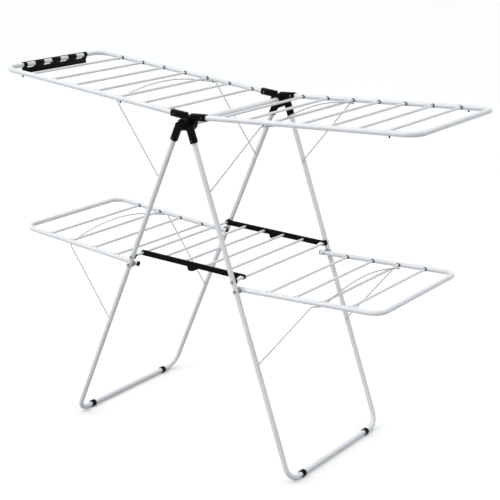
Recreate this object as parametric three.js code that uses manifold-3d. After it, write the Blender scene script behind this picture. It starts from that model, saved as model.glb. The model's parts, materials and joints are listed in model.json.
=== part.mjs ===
// Two-tier folding clothes airer: two leg frames hinged at a pair of hubs, two upper wings on the hubs,
// two lower wings on the legs, a hooked centre tray, four wire props and a hanger clip.
// Units are millimetres. X runs along the length, Y from front to back, Z up, origin on the floor.
import * as THREE from "three";
import { mergeVertices } from "three/addons/utils/BufferGeometryUtils.js";
import Module from "manifold-3d";

const wasm = await Module();
wasm.setup();
const { Manifold, CrossSection } = wasm;

// ---- driving dimensions --------------------------------------------------------------------------
const GAP = 0.3; // running clearance between separate pieces
const TUBE_R = 8; // leg and wing tubes
const ROD_R = 4.1; // hanging rods
const WIRE_R = 1.8; // wire props
const CENTRE_TUBE_R = 11;

const HUB_Z = 1057; // height of the hub axis
const LEG_Y = 266; // leg tubes, either side of the middle
const WING_Y = 242; // wing rails, inside the legs
const LEG_MOUTH = { x: 40, z: 1000 }; // where a leg leaves its hub socket
const FOOT_Z = 10.2;
const FOOT_X = { left: 431, right: 422 };
const LEG_TOP_Z = 1031; // top end of the leg tube inside its socket
const FOOT_BEND = 45;

const FOOT_RING_R = 11;
const FOOT_RING_W = 16;
const FOOT_RING_Y = 192;

const HUB_DISC_R = { leg: 18, wing: 24 };
const AXLE_R = 5;
const SOCKET_SIDE = 21.5;
const SOCKET_ROUND = 7; // corner rounding of the sockets
const LEG_SOCKET_END_Z = 1004;
const HUB_LAYER = 12; // every hub disc is one layer thick along Y
const WING_SOCKET_END = 64;
const WING_TUBE_START = 35;

const UPPER = { z0: 1076, slope: 0.073, end: 763.5, bend: 42, first: 100, pitch: 93, rods: 7 };
const LOWER = { z0: 561.5, slope: 0.062, end: 684, bend: 42, first: 296, pitch: 94, rods: 4 };
const LOWER_PIVOT_Z = 573.5;
const LOWER_TAIL = 15; // rail past its pivot
const PIN_R = 3;
const BOLT_HEAD = { washerR: 5.4, washer: 1, r: 4.4, height: 2.8 }; // outside each leg at a lower pivot
const ROD_HEAD = { r: 5, crownR: 3.2, edge: 1, height: 2.6 }; // outside each leg on the tray rods
const SADDLE = { width: 17, height: 18, wrapY: 264, round: 5 }; // spacer that hugs the leg tube

const TRAY_Z = 602.5; // height of the two rods that carry the tray
const TRAY_SHIFT_Y = 19; // the tray stands slid toward the back of the stand
const TRAY_HALF_Y = 230; // middle of each tray bar from the middle of the tray
const TRAY_BAR_T = 6;
const TRAY_BAR_HALF_H = 8.6; // half height of a bar, and the radius of its eye
const TRAY_ROD_STEPS = 5;
// Finger grip under the middle of a bar, as [x, drop below the bar].
const TRAY_GRIP = [
  [-20, 0],
  [-17, 11.5],
  [-8, 13.5],
  [5, 10.5],
  [23, 0],
];
const HOOK_ROOT = 28; // a hook starts this far before the cross rod
const HOOK_CLEARANCE = 0.5;
// Hook outline around the cross rod, as [x, z] from the rod: over the top, down the end, under to the
// tip, then back up the mouth, which opens low toward the tray.
const HOOK = [
  [-28, 8.6],
  [-14, 8.6],
  [-3.2, 9.3],
  [2.4, 8.8],
  [6.2, 5.8],
  [7.6, 2.4],
  [6.9, -1.2],
  [3.8, -5.4],
  [-2, -7.6],
  [-7.7, -9],
  [-10.4, -8.7],
  [-9.6, -7.4],
  [-6.7, -4.8],
  [-4.4, -1.8],
  [-3.4, 2.2],
  [-6.2, 3.7],
  [-11.8, 2.6],
  [-19, -2.2],
  [-22.7, -5.2],
  [-24.6, -8.6],
  [-28, -8.6],
];

const PROP = {
  upper: { pivotZ: 862, rod: 286, plane: UPPER, bow: 28 },
  lower: { pivotZ: 356, rod: 484, plane: LOWER, bow: 34 },
};
const PROP_IN = 19; // where an arm meets the rail, inward of the rod its bail holds
const PROP_OUT = 6.8; // where the cross part runs, outward of that rod
const PROP_ARM_Y = 255.2; // arms stand in the gap between the legs and the rails
const PROP_CROSS_Y = 229; // the cross part starts just inside the rail
const PROP_UNDER_RAIL = 10.6;
const PROP_TAIL_Y = 263; // bent end inside the leg
const PROP_BENDS = { foot: 3.2, elbow: 5, corner: 4 }; // bend radii of the wire
const PROP_BOW_STEPS = 16;

const CLIP = { halfLength: 158, ringR: 9.8, windows: 4, windowW: 40, windowPitch: 81.5 };
// Edges of a window relative to the end tube; it opens the inner side of the ring above `through` and
// goes right through the plate below it.
const CLIP_WINDOW = { low: -11, through: -7, high: 10.5, inner: 1, deep: 20 };
// Section of the plate that hangs from the clip's ring, as [x inward, z] from the end tube.
const CLIP_PLATE = [
  [-3, -9],
  [-2.5, -18],
  [-2.5, -31],
  [3.4, -31],
  [3, -27],
  [1.8, -18],
  [6, -8.5],
];

// ---- materials -----------------------------------------------------------------------------------
const COATED = 0xe6e7ea;
const PLASTIC = 0x17181a;
const STEEL = 0xb9bcc0;

const group = new THREE.Group();
group.name = "clothes_airer";

function add(name, geometry, colour) {
  const shiny = colour === STEEL;
  const material = new THREE.MeshStandardMaterial({
    color: colour,
    roughness: shiny ? 0.35 : 0.5,
    metalness: shiny ? 0.9 : 0,
  });
  const mesh = new THREE.Mesh(geometry, material);
  mesh.name = name;
  group.add(mesh);
  return mesh;
}

// ---- solid helpers -------------------------------------------------------------------------------
function toManifold(geometry) {
  const clean = geometry.clone();
  clean.deleteAttribute("normal");
  clean.deleteAttribute("uv");
  const welded = mergeVertices(clean, 1e-4);
  const mesh = new wasm.Mesh({
    numProp: 3,
    vertProperties: new Float32Array(welded.attributes.position.array),
    triVerts: new Uint32Array(welded.index.array),
  });
  return new Manifold(mesh);
}

function toGeometry(solid) {
  const mesh = solid.getMesh();
  const geometry = new THREE.BufferGeometry();
  geometry.setAttribute("position", new THREE.BufferAttribute(new Float32Array(mesh.vertProperties), 3));
  geometry.setIndex(new THREE.BufferAttribute(new Uint32Array(mesh.triVerts), 1));
  geometry.computeVertexNormals();
  return geometry;
}

// Closed skin over rings of points, capped at the first and last ring around their centres.
function skin(rings, firstCentre, lastCentre) {
  const sides = rings[0].length;
  const last = rings.length - 1;
  const points = [...rings.flat(), firstCentre, lastCentre];
  const firstCap = points.length - 2;
  const index = [];
  for (let s = 0; s < sides; s += 1) {
    const next = (s + 1) % sides;
    for (let i = 0; i < last; i += 1) {
      const a = i * sides + s;
      const b = i * sides + next;
      index.push(a, b, a + sides, b, b + sides, a + sides);
    }
    index.push(firstCap, next, s);
    index.push(firstCap + 1, last * sides + s, last * sides + next);
  }
  const position = points.flatMap((p) => p.toArray());
  const geometry = new THREE.BufferGeometry();
  geometry.setAttribute("position", new THREE.Float32BufferAttribute(position, 3));
  geometry.setIndex(index);
  geometry.computeVertexNormals();
  return geometry;
}

// A round bar through points that lie in one plane, mitred where it turns. `reference` is that plane's
// normal.
function bar(points, radius, sides, reference) {
  const last = points.length - 1;
  const rings = points.map((point, i) => {
    const incoming = new THREE.Vector3().subVectors(point, points[Math.max(i - 1, 0)]).normalize();
    const outgoing = new THREE.Vector3().subVectors(points[Math.min(i + 1, last)], point).normalize();
    const tangent = new THREE.Vector3();
    tangent.addVectors(i ? incoming : outgoing, i < last ? outgoing : incoming).normalize();
    const mitre = i && i < last ? 1 / Math.sqrt((1 + incoming.dot(outgoing)) / 2) : 1;
    const inPlane = new THREE.Vector3().crossVectors(reference, tangent).normalize();
    const offPlane = new THREE.Vector3().crossVectors(tangent, inPlane).normalize();
    return Array.from({ length: sides }, (_, s) => {
      const a = (2 * Math.PI * (s + 0.5)) / sides;
      const p = point.clone().addScaledVector(inPlane, radius * mitre * Math.cos(a));
      return p.addScaledVector(offPlane, radius * Math.sin(a));
    });
  });
  return skin(rings, points[0], points[last]);
}

// A round bar through points that do not lie in one plane, carrying its section along without twist.
function wireBar(points, radius, sides) {
  const last = points.length - 1;
  const across = new THREE.Vector3(0, 0, 1);
  const rings = points.map((point, i) => {
    const before = points[Math.max(i - 1, 0)];
    const after = points[Math.min(i + 1, last)];
    const tangent = new THREE.Vector3().subVectors(after, before).normalize();
    across.addScaledVector(tangent, -across.dot(tangent)).normalize();
    const other = new THREE.Vector3().crossVectors(tangent, across);
    return Array.from({ length: sides }, (_, s) => {
      const a = (2 * Math.PI * s) / sides;
      const p = point.clone().addScaledVector(across, radius * Math.cos(a));
      return p.addScaledVector(other, radius * Math.sin(a));
    });
  });
  return skin(rings, points[0], points[last]);
}

// Replace the corner at `at` by an arc of the given bend radius.
function bend(from, at, to, radius, steps) {
  const back = new THREE.Vector3().subVectors(from, at).normalize();
  const on = new THREE.Vector3().subVectors(to, at).normalize();
  const half = Math.acos(THREE.MathUtils.clamp(back.dot(on), -1, 1)) / 2;
  const setback = radius / Math.tan(half);
  const bisector = new THREE.Vector3().addVectors(back, on).normalize();
  const centre = at.clone().addScaledVector(bisector, radius / Math.sin(half));
  const start = at.clone().addScaledVector(back, setback).sub(centre);
  const end = at.clone().addScaledVector(on, setback).sub(centre);
  const total = start.angleTo(end);
  const axis = new THREE.Vector3().crossVectors(start, end).normalize();
  const points = [];
  for (let i = 0; i <= steps; i += 1) {
    points.push(start.clone().applyAxisAngle(axis, (total * i) / steps).add(centre));
  }
  return points;
}

// A turned piece whose axis lies along Y through (x, z); the profile lists [radius, y] from front to back.
function turned(profile, sides, x, z) {
  const outline = profile.map(([r, y]) => new THREE.Vector2(r, y));
  const geometry = new THREE.LatheGeometry(outline, sides);
  geometry.translate(x, 0, z);
  return geometry;
}

function cylinderY(radius, y0, y1, x, z, sides = 24) {
  const solid = Manifold.cylinder(Math.abs(y1 - y0), radius, radius, sides);
  return solid.rotate([-90, 0, 0]).translate([x, Math.min(y0, y1), z]);
}

// A cylinder in the XZ plane at the given y, from one [x, z] to another.
function cylinderXZ(radius, from, to, y, sides = 24) {
  const dx = to[0] - from[0];
  const dz = to[1] - from[1];
  const solid = Manifold.cylinder(Math.hypot(dx, dz), radius, radius, sides);
  return solid.rotate([0, (Math.atan2(dx, dz) * 180) / Math.PI, 0]).translate([from[0], y, from[1]]);
}

// A flat piece: an outline in the XZ plane, given thickness along Y.
function slab(outline, y0, y1) {
  const section = new CrossSection([outline], "NonZero");
  return section.extrude(Math.abs(y1 - y0)).rotate([90, 0, 0]).translate([0, Math.max(y0, y1), 0]);
}

// ---- shared lines --------------------------------------------------------------------------------
// Leg axis line on one side of the airer: its x at height z, outward positive.
function legX(side, z) {
  const t = (LEG_MOUTH.z - z) / (LEG_MOUTH.z - FOOT_Z);
  return side * (LEG_MOUTH.x + (FOOT_X[side < 0 ? "left" : "right"] - LEG_MOUTH.x) * t);
}

function wingZ(plane, reach) {
  return plane.z0 + plane.slope * reach;
}

const sideName = (side) => (side < 0 ? "left" : "right");
const endName = (end) => (end < 0 ? "front" : "back");
const SIDES = [-1, 1];
const ENDS = [-1, 1];
const AXLE_Z = TRAY_Z;

// ---- leg frames ----------------------------------------------------------------------------------
function legFrame(side) {
  const top = (y) => new THREE.Vector3(legX(side, LEG_TOP_Z), y, LEG_TOP_Z);
  const foot = (y) => new THREE.Vector3(legX(side, FOOT_Z), y, FOOT_Z);
  const points = [
    top(-LEG_Y),
    ...bend(top(-LEG_Y), foot(-LEG_Y), foot(LEG_Y), FOOT_BEND, 6),
    ...bend(foot(-LEG_Y), foot(LEG_Y), top(LEG_Y), FOOT_BEND, 6),
    top(LEG_Y),
  ];
  const along = new THREE.Vector3().subVectors(top(0), foot(0)).normalize();
  const normal = new THREE.Vector3().crossVectors(along, new THREE.Vector3(0, 1, 0)).normalize();
  let frame = toManifold(bar(points, TUBE_R, 20, normal));
  const through = LEG_Y + TUBE_R + 1;
  for (const end of ENDS) {
    const inner = end * (LEG_Y - TUBE_R - 1);
    const outer = end * through;
    const hole = (radius, z, sides) => cylinderY(radius, inner, outer, legX(side, z), z, sides);
    frame = frame.subtract(hole(PIN_R + GAP, LOWER_PIVOT_Z, 12)).subtract(hole(ROD_R + GAP, AXLE_Z, 16));
    for (const prop of Object.values(PROP)) {
      const x = legX(side, prop.pivotZ);
      const deep = end * (PROP_TAIL_Y + 1);
      frame = frame.subtract(cylinderY(WIRE_R + GAP, inner, deep, x, prop.pivotZ, 10));
    }
  }
  return frame;
}

function footRing(side, end) {
  const x = legX(side, FOOT_Z);
  const y0 = end * FOOT_RING_Y - FOOT_RING_W / 2;
  const y1 = end * FOOT_RING_Y + FOOT_RING_W / 2;
  const floor = Manifold.cube([60, 60, 30], true).translate([x, end * FOOT_RING_Y, -15]);
  return cylinderY(FOOT_RING_R, y0, y1, x, FOOT_Z, 32)
    .subtract(cylinderY(TUBE_R + GAP, y0 - 1, y1 + 1, x, FOOT_Z, 20))
    .subtract(floor);
}

// ---- hub parts -----------------------------------------------------------------------------------
// Each hub is a stack of four discs on the centre axle. From the outside in: left leg, right leg,
// right wing, left wing. Layer 0 is the outermost.
const HUB_OUTER_Y = LEG_Y + HUB_LAYER;

function layerY(layer) {
  const outer = HUB_OUTER_Y - layer * HUB_LAYER;
  return [outer - GAP / 2, outer - HUB_LAYER + GAP / 2];
}

function squareBlock(from, to, y, side) {
  const dx = to[0] - from[0];
  const dz = to[1] - from[1];
  const core = side - 2 * SOCKET_ROUND;
  const section = CrossSection.square([core, core - GAP], true).offset(SOCKET_ROUND, "Round", 2, 24);
  const solid = section.extrude(Math.hypot(dx, dz));
  return solid.rotate([0, (Math.atan2(dx, dz) * 180) / Math.PI, 0]).translate([from[0], y, from[1]]);
}

function hubPart(end, layer, neighbour, discR, line, tubeFrom) {
  const y = (end * (layerY(Math.min(layer, neighbour))[0] + layerY(Math.max(layer, neighbour))[1])) / 2;
  const [a, b] = layerY(layer);
  const [c, d] = layerY(neighbour);
  let part = cylinderY(discR, end * a, end * b, 0, HUB_Z, 40);
  const block = squareBlock(line.root, line.mouth, y, SOCKET_SIDE);
  const clear = cylinderY(discR + 0.8, end * (c + GAP), end * (d - GAP), 0, HUB_Z, 40);
  part = part.add(block.subtract(clear));
  part = part.subtract(cylinderXZ(TUBE_R + GAP, tubeFrom, line.past, y, 20));
  return part.subtract(cylinderY(AXLE_R + GAP, end * (HUB_OUTER_Y + 5), end * (WING_Y - 20), 0, HUB_Z, 20));
}

function legHubPart(side, end) {
  const at = (z) => [legX(side, z), z];
  const line = { root: at(HUB_Z - 2), mouth: at(LEG_SOCKET_END_Z), past: at(LEG_SOCKET_END_Z - 10) };
  const layer = side < 0 ? 0 : 1;
  return hubPart(end, layer, 1 - layer, HUB_DISC_R.leg, line, at(LEG_TOP_Z + GAP));
}

function wingHubPart(side, end) {
  const at = (reach) => [side * reach, wingZ(UPPER, reach)];
  const line = { root: at(10), mouth: at(WING_SOCKET_END), past: at(WING_SOCKET_END + 10) };
  const layer = side < 0 ? 3 : 2;
  return hubPart(end, layer, 5 - layer, HUB_DISC_R.wing, line, at(WING_TUBE_START - GAP));
}

function centreTube() {
  const tubeEnd = WING_Y - HUB_LAYER - GAP;
  const pinEnd = HUB_OUTER_Y + 0.5;
  const headEnd = pinEnd + 3;
  const half = [
    [0, headEnd],
    [5, headEnd],
    [8, pinEnd + 1],
    [8, pinEnd],
    [AXLE_R, pinEnd],
    [AXLE_R, tubeEnd],
    [CENTRE_TUBE_R, tubeEnd],
  ];
  const front = half.map(([r, y]) => [r, -y]);
  const back = half.slice().reverse();
  return turned([...front, ...back], 28, 0, HUB_Z);
}

// ---- wings ---------------------------------------------------------------------------------------
function wingFrame(side, plane, start) {
  const at = (reach, y) => new THREE.Vector3(side * reach, y, wingZ(plane, reach));
  const points = [
    at(start, -WING_Y),
    ...bend(at(start, -WING_Y), at(plane.end, -WING_Y), at(plane.end, WING_Y), plane.bend, 6),
    ...bend(at(plane.end, -WING_Y), at(plane.end, WING_Y), at(start, WING_Y), plane.bend, 6),
    at(start, WING_Y),
  ];
  const normal = new THREE.Vector3(-side * plane.slope, 0, 1).normalize();
  return toManifold(bar(points, TUBE_R, 20, normal));
}

function hangingRod(x, z, halfLength) {
  const profile = [
    [0, -halfLength],
    [ROD_R, -halfLength],
    [ROD_R, halfLength],
    [0, halfLength],
  ];
  return turned(profile, 16, x, z);
}

const RAIL_ROD_HALF = WING_Y - TUBE_R - GAP;

// ---- joint pins and cross rods ---------------------------------------------------------------------
// Lower wing pivot: a pin through the leg and the rail, with a saddle between them that hugs the leg.
function pivotPin(side, end) {
  const x = legX(side, LOWER_PIVOT_Z);
  const z = LOWER_PIVOT_Z;
  const head = LEG_Y + TUBE_R + GAP;
  const railOuter = WING_Y + TUBE_R + GAP;
  const lean = (Math.atan2(legX(side, 0) - legX(side, LEG_MOUTH.z), LEG_MOUTH.z) * 180) / Math.PI;
  const core = [SADDLE.width - 2 * SADDLE.round, SADDLE.height - 2 * SADDLE.round];
  const saddle = CrossSection.square(core, true)
    .offset(SADDLE.round, "Round", 2, 24)
    .rotate(lean)
    .extrude(SADDLE.wrapY - railOuter)
    .rotate([90, 0, 0])
    .translate([x, end < 0 ? -railOuter : SADDLE.wrapY, z]);
  const legAt = (height) => [legX(side, height), height];
  const leg = cylinderXZ(TUBE_R + GAP, legAt(z + 60), legAt(z - 60), end * LEG_Y, 20);
  return saddle
    .subtract(leg)
    .add(cylinderY(PIN_R, end * (WING_Y - TUBE_R - 1.5), end * head, x, z, 16))
    .add(cylinderY(BOLT_HEAD.washerR, end * head, end * (head + BOLT_HEAD.washer), x, z, 20))
    .add(cylinderY(BOLT_HEAD.r, end * head, end * (head + BOLT_HEAD.height), x, z, 20));
}

// Rod across the stand through both legs, with a domed head outside each leg.
function crossRod(side) {
  const head = LEG_Y + TUBE_R + GAP;
  const half = [
    [0, head + ROD_HEAD.height],
    [ROD_HEAD.crownR, head + ROD_HEAD.height],
    [ROD_HEAD.r, head + ROD_HEAD.edge],
    [ROD_HEAD.r, head],
    [ROD_R, head],
  ];
  const front = half.map(([r, y]) => [r, -y]);
  return turned([...front, ...half.slice().reverse()], 20, legX(side, AXLE_Z), AXLE_Z);
}

// ---- centre tray -----------------------------------------------------------------------------------
const TRAY_LEFT = legX(-1, AXLE_Z);
const TRAY_RIGHT = legX(1, AXLE_Z);
const TRAY_PITCH = (TRAY_RIGHT - TRAY_LEFT) / TRAY_ROD_STEPS;

// One side of the tray: an eye on the axle, a flat bar with a finger grip, and a hook over the cross rod.
function trayBar(end) {
  const inner = TRAY_SHIFT_Y + end * (TRAY_HALF_Y - TRAY_BAR_T / 2);
  const outer = TRAY_SHIFT_Y + end * (TRAY_HALF_Y + TRAY_BAR_T / 2);
  const low = AXLE_Z - TRAY_BAR_HALF_H;
  const high = AXLE_Z + TRAY_BAR_HALF_H;
  const hookRoot = TRAY_RIGHT - HOOK_ROOT + 1;
  const outline = [
    [TRAY_LEFT, low],
    ...TRAY_GRIP.map(([x, drop]) => [x, low - drop]),
    [hookRoot, low],
    [hookRoot, high],
    [TRAY_LEFT, high],
  ];
  const hook = HOOK.map(([x, z]) => [TRAY_RIGHT + x, AXLE_Z + z]);
  const hole = (radius, x) => cylinderY(radius, inner - end, outer + end, x, AXLE_Z, 24);
  return slab(outline, inner, outer)
    .add(cylinderY(TRAY_BAR_HALF_H, inner, outer, TRAY_LEFT, AXLE_Z, 32))
    .add(slab(hook, inner, outer))
    .subtract(hole(ROD_R + HOOK_CLEARANCE, TRAY_RIGHT))
    .subtract(hole(ROD_R + GAP, TRAY_LEFT));
}

// ---- wire props --------------------------------------------------------------------------------------
// A bail of wire: bent ends in the leg holes, arms up to the rails, a short run under each rail and a
// bowed cross part just beyond the rod that stops the bail from sliding.
function propWire(side, prop) {
  const { plane, rod, bow } = prop;
  const at = (reach, y, z) => new THREE.Vector3(side * reach, y, z);
  const underRail = (reach) => wingZ(plane, reach) - PROP_UNDER_RAIL;
  const pivot = Math.abs(legX(side, prop.pivotZ));
  const inner = rod - PROP_IN;
  const outer = rod + PROP_OUT;
  const tail = at(pivot, PROP_TAIL_Y, prop.pivotZ);
  const foot = at(pivot, PROP_ARM_Y, prop.pivotZ);
  const elbow = at(inner, PROP_ARM_Y, underRail(inner));
  const corner = at(outer, PROP_CROSS_Y, underRail(outer));
  const arch = [];
  for (let i = 1; i < PROP_BOW_STEPS; i += 1) {
    const u = 1 - (2 * i) / PROP_BOW_STEPS;
    arch.push(at(outer, PROP_CROSS_Y * u, underRail(outer) + bow * (1 - u * u)));
  }
  const start = [
    tail,
    ...bend(tail, foot, elbow, PROP_BENDS.foot, 3),
    ...bend(foot, elbow, corner, PROP_BENDS.elbow, 3),
    ...bend(elbow, corner, arch[0], PROP_BENDS.corner, 3),
  ];
  const mirrored = start.map((p) => new THREE.Vector3(p.x, -p.y, p.z)).reverse();
  return wireBar([...start, ...arch, ...mirrored], WIRE_R, 8);
}

// ---- hanger clip on the end of the upper left wing -----------------------------------------------------
function clipPanel() {
  const x = -UPPER.end;
  const z = wingZ(UPPER, UPPER.end);
  const y0 = -CLIP.halfLength;
  const y1 = CLIP.halfLength;
  const plate = CLIP_PLATE.map(([dx, dz]) => [x + dx, z + dz]);
  let panel = cylinderY(CLIP.ringR, y0, y1, x, z, 32).add(slab(plate, y0, y1));
  panel = panel.subtract(cylinderY(TUBE_R + GAP, y0 - 1, y1 + 1, x, z, 20));
  for (let i = 0; i < CLIP.windows; i += 1) {
    const middle = (i - (CLIP.windows - 1) / 2) * CLIP.windowPitch;
    for (const [from, low, high] of [
      [CLIP_WINDOW.inner, CLIP_WINDOW.low, CLIP_WINDOW.high],
      [-CLIP_WINDOW.deep, CLIP_WINDOW.low, CLIP_WINDOW.through],
    ]) {
      const size = [CLIP_WINDOW.deep - from, CLIP.windowW, high - low];
      const corner = [x + from, middle - CLIP.windowW / 2, z + low];
      panel = panel.subtract(Manifold.cube(size).translate(corner));
    }
  }
  return panel;
}

// ---- assembly ------------------------------------------------------------------------------------------
for (const side of SIDES) {
  const s = sideName(side);
  add(`leg_frame_${s}`, toGeometry(legFrame(side)), COATED);
  for (const end of ENDS) {
    const e = endName(end);
    add(`foot_ring_${s}_${e}`, toGeometry(footRing(side, end)), PLASTIC);
    add(`leg_socket_${s}_${e}`, toGeometry(legHubPart(side, end)), PLASTIC);
    add(`wing_socket_${s}_${e}`, toGeometry(wingHubPart(side, end)), PLASTIC);
    add(`pivot_pin_${s}_${e}`, toGeometry(pivotPin(side, end)), PLASTIC);
  }
  add(side < 0 ? "tray_axle" : "tray_cross_rod", crossRod(side), COATED);

  add(`upper_wing_frame_${s}`, toGeometry(wingFrame(side, UPPER, WING_TUBE_START)), COATED);
  for (let i = 0; i < UPPER.rods; i += 1) {
    const reach = UPPER.first + UPPER.pitch * i;
    add(`upper_rod_${s}_${i + 1}`, hangingRod(side * reach, wingZ(UPPER, reach), RAIL_ROD_HALF), COATED);
  }

  const pivotReach = Math.abs(legX(side, LOWER_PIVOT_Z));
  let lower = wingFrame(side, LOWER, pivotReach - LOWER_TAIL);
  for (const end of ENDS) {
    const bore = cylinderY(PIN_R + GAP, end * (WING_Y - TUBE_R - 2), end * (WING_Y + TUBE_R + 2),
      side * pivotReach, LOWER_PIVOT_Z, 12);
    lower = lower.subtract(bore);
  }
  add(`lower_wing_frame_${s}`, toGeometry(lower), COATED);
  for (let i = 0; i < LOWER.rods; i += 1) {
    const reach = LOWER.first + LOWER.pitch * i;
    add(`lower_rod_${s}_${i + 1}`, hangingRod(side * reach, wingZ(LOWER, reach), RAIL_ROD_HALF), COATED);
  }

  add(`prop_wire_upper_${s}`, propWire(side, PROP.upper), STEEL);
  add(`prop_wire_lower_${s}`, propWire(side, PROP.lower), STEEL);
}
add("centre_tube", centreTube(), COATED);

for (const end of ENDS) {
  add(`tray_bar_${endName(end)}`, toGeometry(trayBar(end)), PLASTIC);
}
for (let i = 1; i < TRAY_ROD_STEPS; i += 1) {
  const half = TRAY_HALF_Y - TRAY_BAR_T / 2 - GAP;
  const rod = hangingRod(TRAY_LEFT + TRAY_PITCH * i, AXLE_Z, half);
  rod.translate(0, TRAY_SHIFT_Y, 0);
  add(`tray_rod_${i}`, rod, COATED);
}
add("hanger_clip", toGeometry(clipPanel()), PLASTIC);

export default group;
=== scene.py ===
"""Looks for a two-tier folding clothes airer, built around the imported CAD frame."""

import json
import math

import bmesh
import bpy
from mathutils import Matrix, Vector


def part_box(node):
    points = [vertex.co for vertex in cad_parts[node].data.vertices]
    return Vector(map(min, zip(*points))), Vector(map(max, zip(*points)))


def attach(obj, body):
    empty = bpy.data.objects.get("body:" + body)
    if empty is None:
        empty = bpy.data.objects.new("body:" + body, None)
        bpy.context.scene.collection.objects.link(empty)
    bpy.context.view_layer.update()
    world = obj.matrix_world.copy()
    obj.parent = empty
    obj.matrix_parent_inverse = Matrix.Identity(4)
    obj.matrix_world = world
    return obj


MM = 0.001
SIDES = {"left": -1, "right": 1}
ENDS = {"front": -1, "back": 1}

TUBE_R = 8 * MM
ROD_R = 4.1 * MM
LEG_Y = 266 * MM
WING_Y = 242 * MM
HUB_FACE_Y = 278 * MM

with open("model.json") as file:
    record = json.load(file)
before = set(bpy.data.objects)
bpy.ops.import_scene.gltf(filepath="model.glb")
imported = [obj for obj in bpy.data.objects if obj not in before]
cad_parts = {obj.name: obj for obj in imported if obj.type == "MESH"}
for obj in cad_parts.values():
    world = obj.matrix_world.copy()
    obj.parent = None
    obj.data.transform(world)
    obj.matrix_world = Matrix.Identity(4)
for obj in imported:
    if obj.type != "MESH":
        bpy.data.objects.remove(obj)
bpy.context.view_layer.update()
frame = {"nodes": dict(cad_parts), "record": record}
nodes = frame["nodes"]
joint_at = {joint["name"]: Vector(joint["pos_m"]) for joint in frame["record"]["behaviour"]["joints"]}


# ---- materials -----------------------------------------------------------------------------------
class Nodes:
    """Short-hand for building one material's node tree."""

    def __init__(self, name):
        self.material = bpy.data.materials.new(name)
        self.material.use_nodes = True
        self.tree = self.material.node_tree
        self.shader = self.tree.nodes["Principled BSDF"]
        coordinates = self.add("ShaderNodeTexCoord")
        self.place = coordinates.outputs["Object"]

    def add(self, kind, **settings):
        node = self.tree.nodes.new(kind)
        for key, value in settings.items():
            if key in node.inputs:
                node.inputs[key].default_value = value
            else:
                setattr(node, key, value)
        return node

    def link(self, output, target):
        self.tree.links.new(output, target)

    def noise(self, scale, detail=4.0, roughness=0.55, stretch=None):
        node = self.add("ShaderNodeTexNoise", Scale=scale, Detail=detail, Roughness=roughness)
        source = self.place
        if stretch:
            mapping = self.add("ShaderNodeMapping", Scale=stretch)
            self.link(source, mapping.inputs["Vector"])
            source = mapping.outputs["Vector"]
        self.link(source, node.inputs["Vector"])
        return node.outputs["Fac"]

    def ramp(self, source, stops):
        node = self.add("ShaderNodeValToRGB")
        elements = node.color_ramp.elements
        while len(elements) < len(stops):
            elements.new(0.5)
        for element, (position, colour) in zip(elements, stops):
            element.position = position
            element.color = (*colour, 1)
        self.link(source, node.inputs["Fac"])
        return node.outputs["Color"]

    def span(self, source, low, high):
        node = self.add("ShaderNodeMapRange", **{"To Min": low, "To Max": high})
        self.link(source, node.inputs["Value"])
        return node.outputs["Result"]

    def bump(self, source, strength, distance, below=None):
        node = self.add("ShaderNodeBump", Strength=strength, Distance=distance)
        self.link(source, node.inputs["Height"])
        if below is not None:
            self.link(below, node.inputs["Normal"])
        return node.outputs["Normal"]

    def fixed(self, **values):
        for key, value in values.items():
            self.shader.inputs[key.replace("_", " ")].default_value = value


def grey(value, blue=0.0):
    return (value - blue / 2, value, value + blue / 2)


def powder_coat(name, tone, cool):
    """White powder coat: orange peel, slight tone drift, a few handling marks."""
    m = Nodes(name)
    drift = m.noise(9, detail=3)
    stops = [(0.3, grey(tone * 0.93, cool)), (0.7, grey(tone, cool))]
    m.link(m.ramp(drift, stops), m.shader.inputs["Base Color"])
    marks = m.noise(160, detail=6, roughness=0.7)
    m.link(m.span(marks, 0.2, 0.36), m.shader.inputs["Roughness"])
    peel = m.bump(m.noise(1100, detail=2), 0.18, 0.0004)
    m.link(m.bump(m.noise(90, detail=2), 0.1, 0.001, peel), m.shader.inputs["Normal"])
    m.fixed(Coat_Weight=0.35, Coat_Roughness=0.12, IOR=1.5)
    return m.material


def moulded_plastic(name, tone, rough, grain):
    """Black moulded plastic: fine spark-eroded grain, faint flow marks and dusty scuffs."""
    m = Nodes(name)
    scuff = m.noise(210, detail=8, roughness=0.75)
    stops = [(0.42, grey(tone)), (0.72, grey(tone * 2.4))]
    m.link(m.ramp(scuff, stops), m.shader.inputs["Base Color"])
    flow = m.noise(40, detail=3, stretch=(1, 1, 3))
    m.link(m.span(flow, rough - 0.07, rough + 0.1), m.shader.inputs["Roughness"])
    m.link(m.bump(m.noise(2600, detail=2), grain, 0.0003), m.shader.inputs["Normal"])
    m.fixed(Specular_IOR_Level=0.045)
    return m.material


def plated_wire(name, tone):
    """Bright zinc-plated wire with drawing lines and a cloudy passivation."""
    m = Nodes(name)
    cloud = m.noise(70, detail=5)
    stops = [(0.3, grey(tone * 0.85)), (0.75, grey(tone * 1.15))]
    m.link(m.ramp(cloud, stops), m.shader.inputs["Base Color"])
    m.link(m.span(m.noise(320, detail=4), 0.26, 0.44), m.shader.inputs["Roughness"])
    m.link(m.bump(m.noise(900, detail=2, stretch=(1, 1, 0.15)), 0.15, 0.0003), m.shader.inputs["Normal"])
    m.fixed(Metallic=0.5)
    return m.material


def blackened_steel(name):
    """Dark bolt heads and rivets with a worn sheen."""
    m = Nodes(name)
    worn = m.noise(380, detail=6, roughness=0.7)
    m.link(m.ramp(worn, [(0.4, grey(0.03)), (0.72, grey(0.11, 0.004))]), m.shader.inputs["Base Color"])
    m.link(m.span(worn, 0.28, 0.5), m.shader.inputs["Roughness"])
    m.link(m.bump(m.noise(1500, detail=2), 0.12, 0.0002), m.shader.inputs["Normal"])
    m.fixed(Metallic=0.6)
    return m.material


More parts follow.
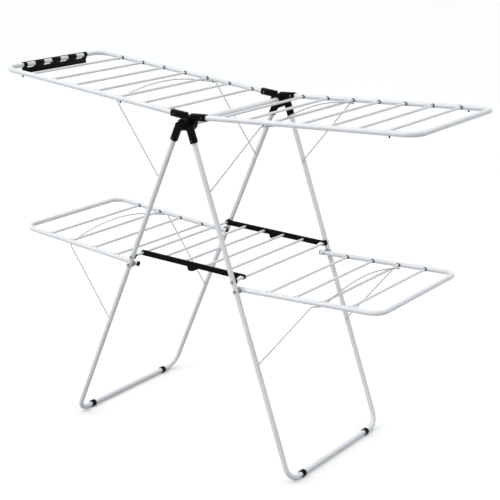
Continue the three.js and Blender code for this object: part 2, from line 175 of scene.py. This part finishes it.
COAT = powder_coat("powder_coat", 0.64, 0.045)
ROD_COAT = powder_coat("rod_coat", 0.64, 0.035)
HUB_BLACK = moulded_plastic("hub_black", 0.0015, 0.34, 0.12)
TRAY_BLACK = moulded_plastic("tray_black", 0.0015, 0.42, 0.2)
CLIP_BLACK = moulded_plastic("clip_black", 0.0015, 0.38, 0.14)
FOOT_BLACK = moulded_plastic("foot_black", 0.003, 0.55, 0.3)
WIRE = plated_wire("plated_wire", 0.42)
BOLT = blackened_steel("bolt_steel")
RIVET = plated_wire("rivet_steel", 0.24)

SLOT_MATERIAL = {
    "coated_tube": COAT,
    "rods": ROD_COAT,
    "hub_plastic": HUB_BLACK,
    "tray_plastic": TRAY_BLACK,
    "clip_plastic": CLIP_BLACK,
    "pin_plastic": RIVET,
    "foot_plastic": FOOT_BLACK,
    "wire": WIRE,
}


# ---- carried-over CAD nodes ------------------------------------------------------------------------
SMOOTH_BELOW = math.radians(34)


def smoothing_group():
    """Geometry nodes that shade a mesh smooth, with sharp edges kept above an angle."""
    group = bpy.data.node_groups.new("smooth_by_angle", "GeometryNodeTree")
    group.interface.new_socket("Geometry", in_out="INPUT", socket_type="NodeSocketGeometry")
    group.interface.new_socket("Geometry", in_out="OUTPUT", socket_type="NodeSocketGeometry")
    make = group.nodes.new
    start, end = make("NodeGroupInput"), make("NodeGroupOutput")
    faces, edges = make("GeometryNodeSetShadeSmooth"), make("GeometryNodeSetShadeSmooth")
    edges.domain = "EDGE"
    angle = make("GeometryNodeInputMeshEdgeAngle")
    below = make("FunctionNodeCompare")
    below.data_type = "FLOAT"
    below.operation = "LESS_THAN"
    below.inputs[1].default_value = SMOOTH_BELOW
    link = group.links.new
    link(start.outputs[0], faces.inputs["Geometry"])
    link(faces.outputs["Geometry"], edges.inputs["Geometry"])
    link(angle.outputs["Unsigned Angle"], below.inputs[0])
    link(below.outputs["Result"], edges.inputs["Shade Smooth"])
    link(edges.outputs["Geometry"], end.inputs[0])
    return group


SMOOTHING = smoothing_group()


def smooth(obj):
    obj.modifiers.new("smooth", "NODES").node_group = SMOOTHING


def soften(obj, width):
    bevel = obj.modifiers.new("soft_edges", "BEVEL")
    bevel.width = width
    bevel.segments = 2
    bevel.limit_method = "ANGLE"
    bevel.angle_limit = math.radians(50)
    bevel.use_clamp_overlap = True


SOFTENED = {"hub_plastic": 0.7 * MM, "tray_plastic": 0.8 * MM, "clip_plastic": 0.5 * MM}
slot_of = {part["node"]: part["material_slot"] for part in frame["record"]["subparts"]}
for node_name, node in nodes.items():
    slot = slot_of[node_name]
    node.data.materials.clear()
    node.data.materials.append(SLOT_MATERIAL[slot])
    weld = node.modifiers.new("weld", "WELD")
    weld.merge_threshold = 1e-6
    if slot in SOFTENED:
        soften(node, SOFTENED[slot])
    smooth(node)


# ---- piece helpers ---------------------------------------------------------------------------------
def piece(name, mesh, material, body):
    """Turn a bmesh into an object that rides on a CAD body."""
    data = bpy.data.meshes.new(name)
    bmesh.ops.recalc_face_normals(mesh, faces=mesh.faces)
    mesh.to_mesh(data)
    mesh.free()
    data.materials.append(material)
    obj = bpy.data.objects.new(name, data)
    bpy.context.scene.collection.objects.link(obj)
    smooth(obj)
    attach(obj, body)
    return obj


def axis_frame(origin, axis):
    """Matrix that takes local Z to the axis and the local origin to a point."""
    turn = Vector(axis).to_track_quat("Z", "Y").to_matrix().to_4x4()
    return Matrix.Translation(origin) @ turn


def lathe(profile, steps, origin, axis):
    """Closed turned solid from [radius, height] pairs; both ends lie on the axis or are joined up."""
    mesh = bmesh.new()
    rings = []
    for radius, height in profile:
        if radius < 1e-7:
            rings.append([mesh.verts.new((0, 0, height))])
        else:
            turn = [2 * math.pi * i / steps for i in range(steps)]
            ring = [(radius * math.cos(a), radius * math.sin(a), height) for a in turn]
            rings.append([mesh.verts.new(point) for point in ring])
    closed = len(rings[0]) > 1
    pairs = list(zip(rings, rings[1:])) + ([(rings[-1], rings[0])] if closed else [])
    for lower, upper in pairs:
        for i in range(steps):
            j = (i + 1) % steps
            below = (lower[i % len(lower)], lower[j % len(lower)])
            above = (upper[j % len(upper)], upper[i % len(upper)])
            corners = list(dict.fromkeys(below + above))
            if len(corners) > 2:
                mesh.faces.new(corners)
    bmesh.ops.transform(mesh, matrix=axis_frame(origin, axis), verts=mesh.verts)
    return mesh


def collar(inner, outer, width, lip, steps, origin, axis):
    """Ring around a rod with rounded edges."""
    profile = [
        (inner, 0),
        (outer - lip, 0),
        (outer, lip),
        (outer, width - lip),
        (outer - lip, width),
        (inner, width),
    ]
    return lathe(profile, steps, origin, axis)


def domed_head(radius, height, socket, steps, origin, axis):
    """Bolt or plug head with a rounded rim and a shallow recess in its face."""
    profile = [
        (0, 0),
        (radius, 0),
        (radius, height * 0.45),
        (radius * 0.93, height * 0.78),
        (radius * 0.78, height),
        (socket, height),
        (socket * 0.92, height * 0.7),
        (0, height * 0.7),
    ]
    return lathe(profile, steps, origin, axis)


def middle(node_name):
    low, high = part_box(node_name)
    return (low + high) / 2


def leg_body(side):
    return "stand" if side < 0 else "right_legs"


def leg_axis(side):
    """Point at the foot and unit direction up the leg, from the lower pivot and the prop pivot."""
    name = "left" if side < 0 else "right"
    low = joint_at[f"lower_{name}_prop_hinge"]
    high = joint_at[f"upper_{name}_prop_hinge"]
    return low, (high - low).normalized()


def leg_point(side, z):
    base, up = leg_axis(side)
    return base + up * ((z - base.z) / up.z)


def wing_line(level, side_name):
    """Centre of a wing's first hanging rod and the unit direction outward along its rails."""
    last = 7 if level == "upper" else 4
    first = middle(f"{level}_rod_{side_name}_1")
    end = middle(f"{level}_rod_{side_name}_{last}")
    return first, (end - first).normalized()


def wing_point(level, side_name, reach, y, drop=0.0):
    """Point at a distance from the middle plane, on a rail's axis or below it."""
    first, along = wing_line(level, side_name)
    at = first + along * ((reach - abs(first.x)) / abs(along.x))
    return Vector((at.x, y, at.z - drop))


# ---- details ---------------------------------------------------------------------------------------
GROMMET = {"outer": 6.3 * MM, "width": 3.4 * MM, "lip": 0.9 * MM}


def rod_grommets():
    """Black collars where the hanging rods enter the rails."""
    for level, count in (("upper", 7), ("lower", 4)):
        for side_name in SIDES:
            for i in range(1, count + 1):
                centre = middle(f"{level}_rod_{side_name}_{i}")
                for end_name, end in ENDS.items():
                    face = WING_Y - TUBE_R + 0.25 * MM
                    origin = Vector((centre.x, end * face, centre.z))
                    ring = collar(
                        ROD_R + 0.15 * MM, GROMMET["outer"], GROMMET["width"], GROMMET["lip"], 24,
                        origin, (0, -end, 0),
                    )
                    name = f"grommet_{level}_{side_name}_{i}_{end_name}"
                    piece(name, ring, HUB_BLACK, f"{level}_{side_name}_wing")


def rail_end_caps():
    """Plugs in the open inner ends of the lower rails."""
    for side_name, side in SIDES.items():
        low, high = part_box(f"lower_wing_frame_{side_name}")
        reach = min(abs(low.x), abs(high.x)) + TUBE_R * 0.06
        _, along = wing_line("lower", side_name)
        for end_name, end in ENDS.items():
            origin = wing_point("lower", side_name, reach, end * WING_Y)
            cap = domed_head(TUBE_R + 0.5 * MM, 2.8 * MM, 4.2 * MM, 28, origin, -along)
            name = f"rail_cap_{side_name}_{end_name}"
            piece(name, cap, HUB_BLACK, f"lower_{side_name}_wing")


SADDLE = {"half_width": 7.5 * MM, "half_height": 9 * MM, "round": 4 * MM, "depth": 9.3 * MM}


def rounded_outline(half_width, half_height, radius, steps=5):
    points = []
    for corner, (sx, sz) in enumerate(((1, 1), (-1, 1), (-1, -1), (1, -1))):
        centre = Vector((sx * (half_width - radius), sz * (half_height - radius)))
        for i in range(steps + 1):
            a = math.pi / 2 * (corner + i / steps)
            points.append(centre + Vector((math.cos(a), math.sin(a))) * radius)
    return points


def rod_saddle(end, centre, up):
    """Block around a rod that hugs the inner side of a leg tube."""
    mesh = bmesh.new()
    across = Vector((up.z, 0, -up.x))
    hollow = TUBE_R + 0.3 * MM
    outline = rounded_outline(SADDLE["half_width"], SADDLE["half_height"], SADDLE["round"])
    inner_face = LEG_Y - TUBE_R - 3.3 * MM
    near, far = [], []
    for point in outline:
        base = centre + across * point.x + up * point.y
        near.append(mesh.verts.new((base.x, end * inner_face, base.z)))
        wrap = LEG_Y - math.sqrt(max(hollow**2 - point.x**2, 0))
        far.append(mesh.verts.new((base.x, end * min(wrap, inner_face + SADDLE["depth"]), base.z)))
    count = len(outline)
    for i in range(count):
        j = (i + 1) % count
        mesh.faces.new((near[i], near[j], far[j], far[i]))
    mesh.faces.new(near)
    bmesh.ops.triangle_fill(mesh, use_beauty=True, edges=[e for e in mesh.edges if e.is_boundary])
    return mesh


ROD_CAP = {"r": 5.3 * MM, "height": 3 * MM, "socket": 2 * MM}


def rod_fittings():
    """Saddles and dark caps on the two rods that carry the tray."""
    for side_name, side in SIDES.items():
        rod = "tray_axle" if side < 0 else "tray_cross_rod"
        body = leg_body(side)
        centre = middle(rod)
        _, up = leg_axis(side)
        for end_name, end in ENDS.items():
            tag = f"{side_name}_{end_name}"
            block = piece(f"rod_saddle_{tag}", rod_saddle(end, centre, up), HUB_BLACK, body)
            soften(block, 0.5 * MM)
            face = LEG_Y + TUBE_R + 0.2 * MM
            origin = Vector((centre.x, end * face, centre.z))
            cap = domed_head(ROD_CAP["r"], ROD_CAP["height"], ROD_CAP["socket"], 28, origin, (0, end, 0))
            piece(f"rod_cap_{tag}", cap, RIVET, body)


STUD = {"r": 2.9 * MM, "height": 6.2 * MM, "sink": 0.8 * MM}
STUD_REACHES = {"working": 267 * MM, "parking": 680 * MM}


def rail_studs():
    """Small studs under the upper rails that the wire bails hook behind."""
    for side_name in SIDES:
        for end_name, end in ENDS.items():
            for use, reach in STUD_REACHES.items():
                top = wing_point("upper", side_name, reach, end * (WING_Y + 1.5 * MM), TUBE_R - STUD["sink"])
                profile = [
                    (0, 0),
                    (STUD["r"] * 0.8, 0),
                    (STUD["r"] * 0.8, STUD["height"] * 0.45),
                    (STUD["r"], STUD["height"] * 0.6),
                    (STUD["r"] * 0.9, STUD["height"] * 0.9),
                    (STUD["r"] * 0.5, STUD["height"]),
                    (0, STUD["height"]),
                ]
                stud = lathe(profile, 18, top, (0, 0, -1))
                name = f"rail_stud_{side_name}_{end_name}_{use}"
                piece(name, stud, HUB_BLACK, f"upper_{side_name}_wing")


HUB_BOSS = [
    (0, 4.6 * MM),
    (4.2 * MM, 4.6 * MM),
    (4.8 * MM, 4.1 * MM),
    (6.4 * MM, 4.1 * MM),
    (7.2 * MM, 4.8 * MM),
    (9.4 * MM, 4.8 * MM),
    (10.2 * MM, 2.6 * MM),
    (12.4 * MM, 2.2 * MM),
    (13.2 * MM, 1.2 * MM),
    (13.4 * MM, 0),
    (0, 0),
]


def hub_bosses():
    """Ribbed round boss over each end of the hub axle."""
    hub = joint_at["leg_hinge"]
    for end_name, end in ENDS.items():
        origin = Vector((hub.x, end * (HUB_FACE_Y - 0.1 * MM), hub.z))
        boss = lathe(HUB_BOSS, 48, origin, (0, end, 0))
        piece(f"hub_boss_{end_name}", boss, HUB_BLACK, "stand")


SCREW = {"r": 2.6 * MM, "height": 1.1 * MM}


def socket_screws():
    """Screws on the outer faces and rivets on the inner faces of the hub sockets."""
    for side_name, side in SIDES.items():
        for end_name, end in ENDS.items():
            tag = f"{side_name}_{end_name}"
            wing_low, wing_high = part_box(f"wing_socket_{tag}")
            leg_low, leg_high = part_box(f"leg_socket_{tag}")
            wing_ys = sorted((wing_low.y, wing_high.y), key=abs)
            leg_face = max(leg_low.y, leg_high.y, key=abs)
            reach = max(abs(wing_low.x), abs(wing_high.x)) - 13 * MM
            at = wing_point("upper", side_name, reach, 0)
            for use, y, away, metal in (
                ("outer", wing_ys[1], end, BOLT),
                ("inner", wing_ys[0], -end, RIVET),
            ):
                origin = Vector((at.x, y - away * 0.15 * MM, at.z))
                head = domed_head(SCREW["r"], SCREW["height"], 1.2 * MM, 20, origin, (0, away, 0))
                piece(f"wing_screw_{tag}_{use}", head, metal, f"upper_{side_name}_wing")
            on_leg = leg_point(side, leg_low.z + 12 * MM)
            origin = Vector((on_leg.x, leg_face - end * 0.15 * MM, on_leg.z))
            head = domed_head(SCREW["r"], SCREW["height"], 1.2 * MM, 20, origin, (0, end, 0))
            piece(f"leg_screw_{tag}", head, BOLT, leg_body(side))


rod_grommets()
rail_end_caps()
rod_fittings()
rail_studs()
hub_bosses()
socket_screws()


# ---- floor, light and camera -------------------------------------------------------------------------
FLOOR_HALF = 40


def floor():
    mesh = bmesh.new()
    outline = ((-1, -1), (1, -1), (1, 1), (-1, 1))
    mesh.faces.new([mesh.verts.new((x * FLOOR_HALF, y * FLOOR_HALF, 0)) for x, y in outline])
    data = bpy.data.meshes.new("floor")
    mesh.to_mesh(data)
    mesh.free()
    m = Nodes("floor_paper")
    m.link(m.ramp(m.noise(1.5), [(0.3, grey(0.79)), (0.7, grey(0.8))]), m.shader.inputs["Base Color"])
    m.fixed(Roughness=0.9)
    data.materials.append(m.material)
    obj = bpy.data.objects.new("floor", data)
    obj.visible_diffuse = False
    bpy.context.scene.collection.objects.link(obj)


def area_light(name, place, aim, size, power, colour=(1, 1, 1)):
    data = bpy.data.lights.new(name, "AREA")
    data.shape = "RECTANGLE"
    data.size, data.size_y = size
    data.energy = power
    data.color = colour
    obj = bpy.data.objects.new(name, data)
    obj.location = place
    obj.rotation_mode = "QUATERNION"
    obj.rotation_quaternion = (Vector(aim) - Vector(place)).to_track_quat("-Z", "Y")
    bpy.context.scene.collection.objects.link(obj)


LIGHT_FROM = (-0.42, -0.3, 0.86)  # the bright side of the studio
# Brightness of the sky from its dark side to its bright side.
SKY = [(0.0, 0.16), (0.34, 0.3), (0.52, 0.8), (0.75, 1.0), (1.0, 1.0)]
SKY_STRENGTH = 1.3


def studio():
    area_light("key", (-2.6, -3.0, 4.2), (0, 0, 0.6), (2.2, 2.2), 60)
    area_light("rim", (3.2, 2.8, 3.0), (0, 0, 0.7), (2.2, 2.2), 25)
    world = bpy.data.worlds.new("studio")
    world.use_nodes = True
    tree = world.node_tree
    background = tree.nodes["Background"]
    direction = tree.nodes.new("ShaderNodeTexCoord")
    toward = tree.nodes.new("ShaderNodeVectorMath")
    toward.operation = "DOT_PRODUCT"
    toward.inputs[1].default_value = LIGHT_FROM
    share = tree.nodes.new("ShaderNodeMapRange")
    share.inputs["From Min"].default_value = -1
    share.inputs["From Max"].default_value = 1
    ramp = tree.nodes.new("ShaderNodeValToRGB")
    stops = ramp.color_ramp.elements
    while len(stops) < len(SKY):
        stops.new(0.5)
    for stop, (position, brightness) in zip(stops, SKY):
        stop.position = position
        stop.color = (brightness * 0.985, brightness * 0.995, brightness, 1)
    tree.links.new(direction.outputs["Generated"], toward.inputs[0])
    tree.links.new(toward.outputs["Value"], share.inputs["Value"])
    tree.links.new(share.outputs["Result"], ramp.inputs["Fac"])
    tree.links.new(ramp.outputs["Color"], background.inputs["Color"])
    background.inputs["Strength"].default_value = SKY_STRENGTH
    bpy.context.scene.world = world
    bpy.context.scene.view_settings.view_transform = "Standard"


CAMERA = {
    "place": (2.37195, -3.3913, 1.88485),
    "yaw": 0.6054,
    "pitch": -0.2967,
    "roll": 0.0285,
    "lens": 96.31,
    "sensor": 36,
    "shift": (0.023, -0.0111),
}


def camera():
    yaw, pitch, roll = CAMERA["yaw"], CAMERA["pitch"], CAMERA["roll"]
    ahead = Vector((-math.sin(yaw) * math.cos(pitch), math.cos(yaw) * math.cos(pitch), math.sin(pitch)))
    level = Vector((math.cos(yaw), math.sin(yaw), 0))
    above = level.cross(ahead)
    right = level * math.cos(roll) + above * math.sin(roll)
    up = above * math.cos(roll) - level * math.sin(roll)
    data = bpy.data.cameras.new("camera")
    data.sensor_width = CAMERA["sensor"]
    data.lens = CAMERA["lens"]
    data.shift_x, data.shift_y = CAMERA["shift"]
    obj = bpy.data.objects.new("camera", data)
    turn = Matrix((right, up, -ahead)).transposed().to_4x4()
    obj.matrix_world = Matrix.Translation(CAMERA["place"]) @ turn
    bpy.context.scene.collection.objects.link(obj)
    bpy.context.scene.camera = obj


floor()
studio()
camera()
